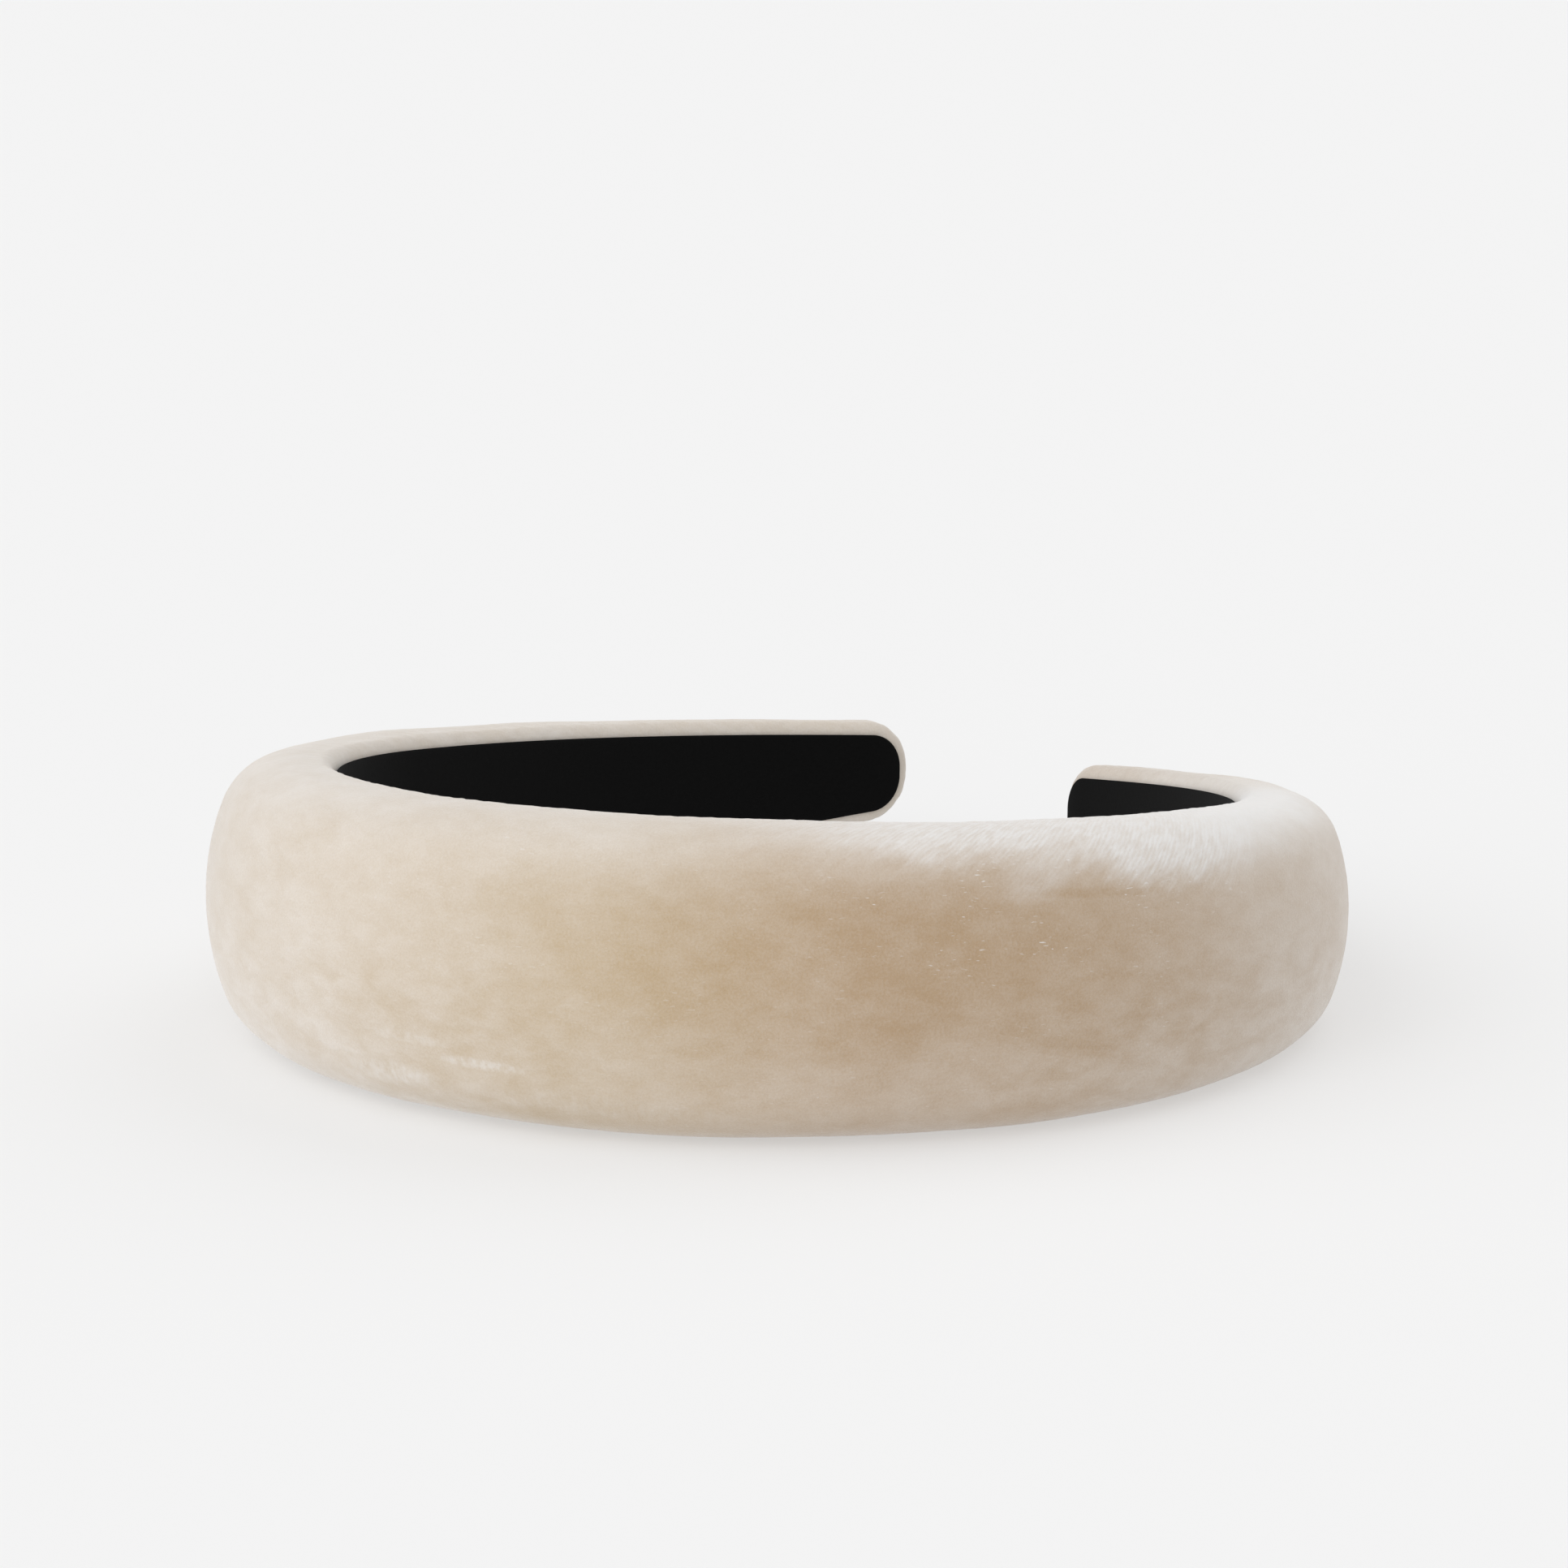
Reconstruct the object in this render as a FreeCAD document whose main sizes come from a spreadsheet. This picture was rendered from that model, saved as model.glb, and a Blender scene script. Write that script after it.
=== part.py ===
import FreeCAD, Part
import Sketcher
import math
import os

# Padded velvet headband, lying on its side.
# X runs across the head, Y from the crown (front, -Y) to the tips (+Y), and Z along the band's width.
# Each layer is measured outward from the lining's exposed face, so 0 is the face that touches the hair.

os.makedirs("parts", exist_ok=True)
document = FreeCAD.newDocument("Headband")
sheet = document.addObject("Spreadsheet::Sheet", "Sizes")

SIZES = {
    # plan of the lining's exposed face: a crown arc, then a flatter arm arc
    "crown_radius": 58.5,
    "crown_arc": 104.5,
    "arm_radius": 145.0,
    "arm_arc": 92.0,
    # width of the covered band, and how far the right arm drops and the left one lifts at its tip
    "crown_width": 38.0,
    "side_width": 29.5,
    "tip_width": 14.0,
    "tip_drop": 2.4,
    # height of the padding above the rims' widest line, and how late it falls away along the arm
    "crown_rise": 15.4,
    "tip_rise": 4.3,
    "rise_power": 1.65,
    # rounding of the covered band; the shares are of the rise
    "rim_radius": 2.1,
    "side_share": 0.32,
    "shoulder_share": 0.57,
    "tip_round": 6.2,
    # outward offsets of the layers' faces
    "lining_face": 0.0,
    "lining_back": 0.6,
    "margin_face": 0.8,
    "margin_back": 1.6,
    "tape_face": 1.65,
    "core_face": 1.8,
    "core_back": 3.6,
    "foam_tape_back": 3.8,
    "foam_face": 4.1,
    # how far the layers stay inside the covered band's surface, and the rounding of their rims
    "cover_inset": 0.0,
    "skin": 0.9,
    "hollow_rim": 1.3,
    "foam_inset": 1.0,
    "foam_rim": 0.3,
    "lining_inset": 1.8,
    "core_inset": 2.6,
    "foam_tape_inset": 4.5,
    # the velvet's turned-in margins, the window between them, and the tape and glue under them
    "margin_width": 6.0,
    "window_stop": 16.0,
    "glue_gap": 0.4,
    "tape_gap": 0.2,
    "tape_width": 2.6,
    "tape_stop": 13.0,
    # clear space between the two halves at the crown
    "split_gap": 0.35,
    # turns about X and Y that set the band down on its lower edge
    "rest_pitch": -3.2,
    "rest_lean": -0.15,
}

for row, (alias, number) in enumerate(SIZES.items(), start=1):
    sheet.set("A%d" % row, alias)
    sheet.set("B%d" % row, str(number))
    sheet.setAlias("B%d" % row, alias)
document.recompute()


def size(alias):
    """The number in one cell of the sheet."""
    return float(sheet.get(alias))


CROWN_TURN = size("crown_arc") / size("crown_radius")
ARM_LENGTH = size("crown_arc") + size("arm_arc")
SPLIT_ARC = size("split_gap") / 2
OVERRUN = size("foam_tape_back") + 1
SIDES = {"left": -1, "right": 1}
UP = FreeCAD.Vector(0, 0, 1)


def heading(arc):
    """Angle that the arm has turned through ARC mm from the crown's middle."""
    if arc <= size("crown_arc"):
        return arc / size("crown_radius")
    return CROWN_TURN + (arc - size("crown_arc")) / size("arm_radius")


def arc_centre(turn):
    """Centre of the plan arc that the arm is on at this heading, on the right side."""
    centre = FreeCAD.Vector(0, size("crown_radius"), 0)
    if turn <= CROWN_TURN:
        return centre
    step = size("arm_radius") - size("crown_radius")
    return centre + FreeCAD.Vector(-step * math.sin(CROWN_TURN), step * math.cos(CROWN_TURN), 0)


def plan_point(arc, outward=0.0, side=1):
    """Point on the plan, ARC mm along the lining's face and OUTWARD mm off it."""
    turn = heading(arc)
    radius = size("crown_radius") if turn <= CROWN_TURN else size("arm_radius")
    reach = radius + outward
    point = arc_centre(turn) + FreeCAD.Vector(reach * math.sin(turn), -reach * math.cos(turn), 0)
    return FreeCAD.Vector(side * point.x, point.y, 0)


SIDE_Y = plan_point(size("crown_arc")).y
TIP_Y = plan_point(ARM_LENGTH).y


def width_weights(y):
    """Shares of the crown, side and tip widths that make the width at this Y."""
    side = y * (TIP_Y - y) / (SIDE_Y * (TIP_Y - SIDE_Y))
    tip = y * (y - SIDE_Y) / (TIP_Y * (TIP_Y - SIDE_Y))
    return {"crown_width": 1 - side - tip, "side_width": side, "tip_width": tip}


def rise_weights(arc):
    """Shares of the crown's and the tip's rise that make the rise at this arc length."""
    swing = math.pi * (arc / ARM_LENGTH) ** size("rise_power")
    crown = (1 + math.cos(swing)) / 2
    return {"crown_rise": crown, "tip_rise": 1 - crown}


def weighted(shares):
    """A weighted sum of cells, as a number and as an expression."""
    number = sum(share * size(name) for name, share in shares.items())
    expression = " + ".join("Sizes.%s * (%.6f)" % (name, share) for name, share in shares.items())
    return number, expression


def half_width(y):
    """Half the covered band's width at this Y."""
    return weighted(width_weights(y))[0] / 2


def centre_height(y, side):
    """Height of the band's middle line: the right arm drops towards its tip and the left arm lifts."""
    return -side * size("tip_drop") * (y / TIP_Y) ** 2


def new_body(name):
    return document.addObject("PartDesign::Body", name)


def origin_plane(body, role):
    return next(plane for plane in body.Origin.OriginFeatures if plane.Role == role)


def new_sketch(body, name, role, offset=None):
    """A sketch on one of the body's origin planes."""
    sketch = body.newObject("Sketcher::SketchObject", name)
    sketch.AttachmentSupport = [(origin_plane(body, role), "")]
    sketch.MapMode = "FlatFace"
    if offset is not None:
        sketch.AttachmentOffset = offset
    return sketch


def bind(sketch, constraint, expression):
    """Add a named constraint and tie it to the sheet."""
    index = sketch.addConstraint(constraint)
    sketch.renameConstraint(index, "size_%d" % index)
    sketch.setExpression("Constraints.size_%d" % index, expression)


def close_loop(sketch, joints):
    """Join each pair of (edge, end) with the next one."""
    for first, first_end, second, second_end in joints:
        sketch.addConstraint(Sketcher.Constraint("Coincident", first, first_end, second, second_end))


def circle_arc(centre, radius, start, end):
    return Part.ArcOfCircle(Part.Circle(centre, UP, radius), start, end)


def plan_sketch(body, side, face, back, end_arc):
    """Closed plan outline of a strip between two offsets, from the split to END_ARC."""
    sketch = new_sketch(body, body.Name + "_plan", "XY_Plane")
    turns = (heading(SPLIT_ARC), CROWN_TURN, heading(end_arc))
    edges = []
    for offset in (face, back):
        for part, radius_name in enumerate(("crown_radius", "arm_radius")):
            centre = arc_centre(turns[part + 1])
            centre.x *= side
            low, high = turns[part], turns[part + 1]
            start, end = (low, high) if side > 0 else (-high, -low)
            quarter = math.pi / 2
            arc = circle_arc(centre, size(radius_name) + size(offset), start - quarter, end - quarter)
            edges.append((sketch.addGeometry(arc), radius_name, offset))
    for arc_end in (SPLIT_ARC, end_arc):
        inner = plan_point(arc_end, size(face), side)
        outer = plan_point(arc_end, size(back), side)
        sketch.addGeometry(Part.LineSegment(inner, outer))
    # an arc's first end is the one nearer the crown on the right side only
    near, far = (1, 2) if side > 0 else (2, 1)
    close_loop(sketch, ((0, far, 1, near), (2, far, 3, near), (4, 1, 0, near), (4, 2, 2, near),
                        (5, 1, 1, far), (5, 2, 3, far)))
    for index, radius_name, offset in edges:
        expression = "Sizes.%s + Sizes.%s" % (radius_name, offset)
        radius = size(radius_name) + size(offset)
        bind(sketch, Sketcher.Constraint("Radius", index, radius), expression)
    return sketch


def edge_arc(side, inset, upper):
    """Side view of one long edge, as the arc through heights before the crown, beside it and past the tip."""
    points = []
    for y in (-OVERRUN, SIDE_Y, TIP_Y + OVERRUN):
        reach = half_width(y) - inset
        points.append(FreeCAD.Vector(y, centre_height(y, side) + (reach if upper else -reach), 0))
    return Part.Arc(*points)


def trim_long_edges(body, side, top, bottom):
    """Cut a padded-up strip down to its tapering edges. TOP and BOTTOM are (upper edge?, inset)."""
    sketch = new_sketch(body, body.Name + "_edges", "YZ_Plane")
    beyond = size("crown_width")
    for (upper, inset), out in ((top, beyond), (bottom, -beyond)):
        arc = edge_arc(side, inset, upper)
        start, end = arc.value(arc.FirstParameter), arc.value(arc.LastParameter)
        corners = [end, FreeCAD.Vector(end.x, out, 0), FreeCAD.Vector(start.x, out, 0), start]
        sketch.addGeometry(arc)
        for first, second in zip(corners, corners[1:]):
            sketch.addGeometry(Part.LineSegment(first, second))
    pocket = body.newObject("PartDesign::Pocket", body.Name + "_trim")
    pocket.Profile = sketch
    pocket.Type = "ThroughAll"
    pocket.SideType = "Symmetric"


def tip_frame(arc, side):
    """Placement of a sketch laid on the lining's face at ARC: X along the arm, Y up the width."""
    turn = heading(arc)
    along = FreeCAD.Vector(side * math.cos(turn), math.sin(turn), 0)
    base = plan_point(arc, 0, side)
    base.z = centre_height(base.y, side)
    return FreeCAD.Placement(base, FreeCAD.Rotation(along, UP, along.cross(UP), "XYZ"))


def round_tip(body, side, end_arc, inset, radius):
    """Round the two corners of an arm's tip."""
    sketch = new_sketch(body, body.Name + "_tip", "XY_Plane", tip_frame(end_arc, side))
    start_y = plan_point(end_arc - radius, 0, side).y
    end_y = plan_point(end_arc, 0, side).y
    wide = half_width(start_y) - inset
    narrow = half_width(end_y) - inset - radius
    big = (radius ** 2 + (wide - narrow) ** 2) / (2 * radius)
    sweep = math.atan2(wide - narrow, big - radius)
    for up in (1, -1):
        centre = FreeCAD.Vector(-big, up * narrow, 0)
        low, high = sorted((0, up * sweep))
        arc = circle_arc(centre, big, low, high)
        tip = FreeCAD.Vector(0, up * narrow, 0)
        shoulder = FreeCAD.Vector(big * math.cos(sweep) - big, up * (narrow + big * math.sin(sweep)), 0)
        out = up * size("crown_width")
        corners = [shoulder, FreeCAD.Vector(shoulder.x, out, 0), FreeCAD.Vector(2, out, 0),
                   FreeCAD.Vector(2, tip.y, 0), tip]
        sketch.addGeometry(arc)
        for first, second in zip(corners, corners[1:]):
            sketch.addGeometry(Part.LineSegment(first, second))
    pocket = body.newObject("PartDesign::Pocket", body.Name + "_corners")
    pocket.Profile = sketch
    pocket.Type = "ThroughAll"
    pocket.SideType = "Symmetric"


def strip(name, side, face, back, end_arc, top, bottom, round_radius=0.0):
    """A thin strip that follows the band's plan, with tapering edges and, if asked, a rounded tip."""
    body = new_body("%s_%s" % (name, side))
    sign = SIDES[side]
    pad = body.newObject("PartDesign::Pad", body.Name + "_pad")
    pad.Profile = plan_sketch(body, sign, face, back, end_arc)
    pad.SideType = "Symmetric"
    pad.setExpression("Length", "Sizes.crown_width + 4 * Sizes.tip_drop")
    trim_long_edges(body, sign, top, bottom)
    if round_radius > 0:
        round_tip(body, sign, end_arc, top[1], round_radius)
    return body


def section_frame(arc, side):
    """Placement of a cross-section at ARC: X outward, Y up the width."""
    turn = heading(arc)
    outward = FreeCAD.Vector(side * math.sin(turn), -math.cos(turn), 0)
    base = plan_point(arc, 0, side)
    base.z = centre_height(base.y, side)
    return FreeCAD.Placement(base, FreeCAD.Rotation(outward, UP, outward.cross(UP), "XYZ"))


def section_sketch(body, side, arc, face, inset, rim, index):
    """D-shaped cross-section of the padding: flat to the head, with rounded rims and a crowned top."""
    sketch = new_sketch(body, "%s_section_%d" % (body.Name, index), "XY_Plane", section_frame(arc, side))
    width, width_expression = weighted(width_weights(plan_point(arc).y))
    rise, rise_expression = weighted(rise_weights(arc))
    start, corner = size(face), size(rim)
    half = width / 2 - size(inset)
    widest = size("margin_face") + size("rim_radius")
    side_start = start + corner
    side_end = widest + size("side_share") * rise
    shoulder = size("shoulder_share") * rise - size(inset)
    top = widest + rise - size(inset)
    across = half - shoulder
    above = top - side_end
    crown = (across ** 2 + above ** 2 - shoulder ** 2) / (2 * (above - shoulder))
    crown_centre = top - crown
    lean = math.atan2(across, side_end - crown_centre)
    point = FreeCAD.Vector
    quarter = math.pi / 2
    sketch.addGeometry(Part.LineSegment(point(start, corner - half, 0), point(start, half - corner, 0)))
    sketch.addGeometry(circle_arc(point(side_start, half - corner, 0), corner, quarter, 2 * quarter))
    sketch.addGeometry(Part.LineSegment(point(side_start, half, 0), point(side_end, half, 0)))
    sketch.addGeometry(circle_arc(point(side_end, across, 0), shoulder, lean, quarter))
    sketch.addGeometry(circle_arc(point(crown_centre, 0, 0), crown, 0, lean))
    sketch.addGeometry(circle_arc(point(crown_centre, 0, 0), crown, -lean, 0))
    sketch.addGeometry(circle_arc(point(side_end, -across, 0), shoulder, -quarter, -lean))
    sketch.addGeometry(Part.LineSegment(point(side_end, -half, 0), point(side_start, -half, 0)))
    sketch.addGeometry(circle_arc(point(side_start, corner - half, 0), corner, 2 * quarter, 3 * quarter))
    close_loop(sketch, ((0, 2, 1, 2), (1, 1, 2, 1), (2, 2, 3, 2), (3, 1, 4, 2), (4, 1, 5, 2),
                        (5, 1, 6, 2), (6, 1, 7, 1), (7, 2, 8, 2), (8, 1, 0, 1)))
    half_expression = "(%s) / 2 - Sizes.%s" % (width_expression, inset)
    top_expression = "Sizes.margin_face + Sizes.rim_radius + %s - Sizes.%s" % (rise_expression, inset)
    bind(sketch, Sketcher.Constraint("DistanceY", -1, 1, 2, 1, half), half_expression)
    bind(sketch, Sketcher.Constraint("DistanceY", 7, 1, -1, 1, half), half_expression)
    bind(sketch, Sketcher.Constraint("DistanceX", -1, 1, 4, 1, top), top_expression)
    for edge in (1, 8):
        bind(sketch, Sketcher.Constraint("Radius", edge, corner), "Sizes.%s" % rim)
    return sketch


def section_arcs(end_arc):
    """Arc lengths of the cross-sections, with one at the join of the two plan arcs."""
    steps = 6
    joint = size("crown_arc")
    crown = [SPLIT_ARC + (joint - SPLIT_ARC) * step / steps for step in range(steps)]
    arm = [joint + (end_arc - joint) * step / steps for step in range(steps + 1)]
    return crown + arm


def padding(name, side, face, inset, rim):
    """A solid of the covered band's shape, held INSET inside its surface and starting at FACE."""
    body = new_body("%s_%s" % (name, side))
    sign = SIDES[side]
    end_arc = ARM_LENGTH - size(inset)
    sections = [section_sketch(body, sign, arc, face, inset, rim, index)
                for index, arc in enumerate(section_arcs(end_arc))]
    loft = body.newObject("PartDesign::AdditiveLoft", body.Name + "_loft")
    loft.Profile = sections[0]
    loft.Sections = sections[1:]
    round_tip(body, sign, end_arc, size(inset), size("tip_round") - size(inset))
    return body


def cut(name, base, tool):
    result = document.addObject("Part::Cut", name)
    result.Base = base
    result.Tool = tool
    return result


def core_band(side):
    """The springy plastic strip that gives the band its shape."""
    inset = size("core_inset")
    end_arc = ARM_LENGTH - inset
    return strip("core_band", side, "core_face", "core_back", end_arc,
                 (True, inset), (False, inset), size("tip_round") - inset)


def foam_tape(side):
    """Double-sided tape between the plastic strip and the foam."""
    inset = size("foam_tape_inset")
    return strip("foam_tape", side, "core_back", "foam_tape_back", ARM_LENGTH - 2 * inset,
                 (True, inset), (False, inset))


def foam_pad(side):
    """The foam that makes the band puffy."""
    return padding("foam_pad", side, "foam_face", "foam_inset", "foam_rim")


def velvet_cover(side):
    """The velvet skin, drawn over the foam and turned in round both rims, with a window at the head side."""
    form = padding("cover_form", side, "margin_face", "cover_inset", "rim_radius")
    hollow = padding("cover_hollow", side, "margin_back", "skin", "hollow_rim")
    margin = size("margin_width")
    window = strip("cover_window", side, "lining_back", "core_face", ARM_LENGTH - size("window_stop"),
                   (True, margin), (False, margin))
    shell = cut("cover_shell_%s" % side, form, hollow)
    return cut("velvet_cover_%s" % side, shell, window)


def margin_tape(side, upper):
    """Tape that holds one turned-in margin of the velvet to the plastic strip."""
    outer = size("core_inset") + size("tape_gap")
    near, far = (upper, outer), (upper, outer + size("tape_width"))
    top, bottom = (near, far) if upper else (far, near)
    name = "margin_tape_upper" if upper else "margin_tape_lower"
    return strip(name, side, "tape_face", "core_face", ARM_LENGTH - size("tape_stop"), top, bottom)


def lining_glue(side):
    """Glue that fills the window and holds the lining to the plastic strip."""
    inset = size("margin_width") + size("glue_gap")
    end_arc = ARM_LENGTH - size("window_stop") - size("glue_gap")
    return strip("lining_glue", side, "lining_back", "core_face", end_arc, (True, inset), (False, inset))


def lining_ribbon(side):
    """The black ribbon that lies against the head and hides the margins."""
    inset = size("lining_inset")
    return strip("lining_ribbon", side, "lining_face", "lining_back", ARM_LENGTH - inset,
                 (True, inset), (False, inset), size("tip_round") - inset)


parts = []
for side in SIDES:
    parts += [core_band(side), foam_tape(side), foam_pad(side), velvet_cover(side)]
    parts += [margin_tape(side, True), margin_tape(side, False), lining_glue(side), lining_ribbon(side)]
document.recompute()


def rest_placement():
    """Tilt that sets the band down on its lower edge, then a shift of the origin to under its middle."""
    tilt = FreeCAD.Rotation(FreeCAD.Vector(1, 0, 0), size("rest_pitch"))
    tilt = FreeCAD.Rotation(FreeCAD.Vector(0, 1, 0), size("rest_lean")) * tilt
    turned = Part.makeCompound([part.Shape for part in parts])
    turned.Placement = FreeCAD.Placement(FreeCAD.Vector(), tilt)
    box = turned.optimalBoundingBox(False)
    middle = FreeCAD.Vector((box.XMin + box.XMax) / 2, (box.YMin + box.YMax) / 2, box.ZMin)
    return FreeCAD.Placement(-middle, tilt)


REST = rest_placement()
for part in parts:
    part.Label = part.Name
    part.Placement = REST
document.recompute()


def check_document():
    """Stop if a feature failed, a cut removed nothing or a part isn't one sound solid."""
    for item in document.Objects:
        if {"Invalid", "Error"} & set(item.State):
            raise RuntimeError("%s failed: %s" % (item.Name, item.State))
        if item.isDerivedFrom("PartDesign::Pocket"):
            if item.BaseFeature.Shape.Volume - item.Shape.Volume < 0.01:
                raise RuntimeError("%s cuts nothing" % item.Name)
    for part in parts:
        shape = part.Shape
        if shape.isNull() or not shape.isValid() or len(shape.Solids) != 1:
            raise RuntimeError("%s isn't one valid solid" % part.Label)


check_document()
for part in parts:
    part.Shape.exportStep("parts/%s.step" % part.Label)
print("%d parts, rest placement %s" % (len(parts), REST))
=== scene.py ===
"""Looks of the padded velvet headband: velvet cover, black lining, hidden layers, floor, light and camera."""
import math

import bpy
import numpy as np
from mathutils import Matrix, Vector, noise


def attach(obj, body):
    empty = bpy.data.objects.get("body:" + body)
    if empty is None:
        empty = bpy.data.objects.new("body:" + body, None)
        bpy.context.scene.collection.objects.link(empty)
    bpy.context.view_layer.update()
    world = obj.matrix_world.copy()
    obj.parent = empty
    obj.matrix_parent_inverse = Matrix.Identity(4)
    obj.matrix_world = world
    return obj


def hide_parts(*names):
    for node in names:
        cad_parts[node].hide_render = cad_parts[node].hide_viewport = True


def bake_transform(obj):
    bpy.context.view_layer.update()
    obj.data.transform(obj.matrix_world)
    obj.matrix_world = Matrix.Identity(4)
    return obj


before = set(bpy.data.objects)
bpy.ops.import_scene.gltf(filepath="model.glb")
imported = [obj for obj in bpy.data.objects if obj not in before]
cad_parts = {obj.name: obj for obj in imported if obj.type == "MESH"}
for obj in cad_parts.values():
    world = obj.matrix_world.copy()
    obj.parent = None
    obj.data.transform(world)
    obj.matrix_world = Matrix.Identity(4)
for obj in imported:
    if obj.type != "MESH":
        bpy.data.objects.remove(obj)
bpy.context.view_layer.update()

# Sizes of the band, in metres and degrees, as in part.py.
CROWN_RADIUS, CROWN_ARC = 0.0585, 0.1045
ARM_RADIUS, ARM_ARC = 0.145, 0.092
CROWN_WIDTH, SIDE_WIDTH, TIP_WIDTH = 0.038, 0.0295, 0.014
TIP_DROP = 0.0024
CROWN_RISE, TIP_RISE, RISE_POWER = 0.0154, 0.0043, 1.65
RIM_RADIUS, SIDE_SHARE, SHOULDER_SHARE = 0.0021, 0.32, 0.57
TIP_ROUND = 0.0062
MARGIN_FACE, FOAM_FACE = 0.0008, 0.0043
LINING_INSET, LINING_THICKNESS = 0.0018, 0.0005
FOAM_INSET = 0.0013
REST_PITCH, REST_LEAN = math.radians(-3.2), math.radians(-0.15)
REST_SHIFT = Vector((-0.0000079, -0.0679692, 0.019156))

CROWN_TURN = CROWN_ARC / CROWN_RADIUS
ARM_LENGTH = CROWN_ARC + ARM_ARC
REST = (Matrix.Translation(REST_SHIFT) @ Matrix.Rotation(REST_LEAN, 4, "Y")
        @ Matrix.Rotation(REST_PITCH, 4, "X"))


# ---- shape of the band ----

def turn_and_centre(arc):
    """Heading of the arm at these arc lengths (all >= 0), with the plan arc's radius and centre."""
    on_arm = arc > CROWN_ARC
    turn = np.where(on_arm, CROWN_TURN + (arc - CROWN_ARC) / ARM_RADIUS, arc / CROWN_RADIUS)
    radius = np.where(on_arm, ARM_RADIUS, CROWN_RADIUS)
    step = np.where(on_arm, ARM_RADIUS - CROWN_RADIUS, 0.0)
    centre_x = -step * math.sin(CROWN_TURN)
    centre_y = CROWN_RADIUS + step * math.cos(CROWN_TURN)
    return turn, radius, centre_x, centre_y


def plan(arc, outward):
    """X and Y on the right arm at these arc lengths and offsets."""
    turn, radius, centre_x, centre_y = turn_and_centre(arc)
    reach = radius + outward
    return centre_x + reach * np.sin(turn), centre_y - reach * np.cos(turn)


SIDE_Y = float(plan(np.array(CROWN_ARC), 0.0)[1])
TIP_Y = float(plan(np.array(ARM_LENGTH), 0.0)[1])


def half_width(arc):
    """Half the band's width, from a curve through its widths at the crown, the side and the tip."""
    y = plan(arc, 0.0)[1]
    side = y * (TIP_Y - y) / (SIDE_Y * (TIP_Y - SIDE_Y))
    tip = y * (y - SIDE_Y) / (TIP_Y * (TIP_Y - SIDE_Y))
    return ((1 - side - tip) * CROWN_WIDTH + side * SIDE_WIDTH + tip * TIP_WIDTH) / 2


def rise(arc):
    """How far the padding stands up, falling from the crown to the tip."""
    crown = (1 + np.cos(math.pi * (arc / ARM_LENGTH) ** RISE_POWER)) / 2
    return crown * CROWN_RISE + (1 - crown) * TIP_RISE


def place(station, outward, up):
    """Row-frame points for signed arc lengths, offsets from the lining's face and heights on the width."""
    arc, side = np.abs(station), np.where(station < 0, -1.0, 1.0)
    x, y = plan(arc, outward)
    base_y = plan(arc, 0.0)[1]
    z = up - side * TIP_DROP * (base_y / TIP_Y) ** 2
    local = np.stack([side * x, y, np.broadcast_to(z, x.shape)], axis=-1)
    matrix = np.array(REST)
    return local @ matrix[:3, :3].T + matrix[:3, 3]


def stations(length, round_radius, count, tip_count):
    """Signed arc lengths from tip to tip, closer together where the tips are rounded."""
    straight = np.linspace(0, length - round_radius, count // 2 + 1)
    swing = np.linspace(0, math.radians(87), tip_count + 1)[1:]
    right = np.concatenate([straight, length - round_radius + round_radius * np.sin(swing)])
    return np.concatenate([-right[:0:-1], right])


def tip_fall(station, length, round_radius):
    """How much of the tip's corner radius is left at each station: 1 along the arm, towards 0 at its end."""
    into = np.clip((np.abs(station) - (length - round_radius)) / round_radius, 0, 1)
    return np.sqrt(1 - into ** 2)


def half_section(counts, half, top_rise, inset, face):
    """Upper half of one D-shaped section, from the middle of the head side to the middle of the top."""
    widest = MARGIN_FACE + RIM_RADIUS
    rim = widest - max(face, MARGIN_FACE) if face <= widest else 0.0003
    rim = max(rim, 0.0003)
    start = face
    side_start = start + rim
    side_end = max(widest + SIDE_SHARE * top_rise, side_start)
    shoulder = max(SHOULDER_SHARE * top_rise - inset, 0.0004)
    top = widest + top_rise - inset
    shoulder = min(shoulder, top - side_end - 0.0001, half * 0.8)
    across, above = half - shoulder, top - side_end
    crown = (across ** 2 + above ** 2 - shoulder ** 2) / (2 * (above - shoulder))
    crown_centre = top - crown
    lean = math.atan2(across, side_end - crown_centre)
    quarter = math.pi / 2
    flat_n, rim_n, side_n, shoulder_n, top_n = counts
    parts = []
    f = np.arange(flat_n) / flat_n
    parts.append(np.stack([np.full(flat_n, start), (half - rim) * f], -1))
    a = math.pi - quarter * np.arange(rim_n) / rim_n
    parts.append(np.stack([side_start + rim * np.cos(a), half - rim + rim * np.sin(a)], -1))
    f = np.arange(side_n) / side_n
    parts.append(np.stack([side_start + (side_end - side_start) * f, np.full(side_n, half)], -1))
    a = quarter - (quarter - lean) * np.arange(shoulder_n) / shoulder_n
    parts.append(np.stack([side_end + shoulder * np.cos(a), across + shoulder * np.sin(a)], -1))
    a = lean * (1 - np.arange(top_n + 1) / top_n)
    parts.append(np.stack([crown_centre + crown * np.cos(a), crown * np.sin(a)], -1))
    return np.concatenate(parts)


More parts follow.
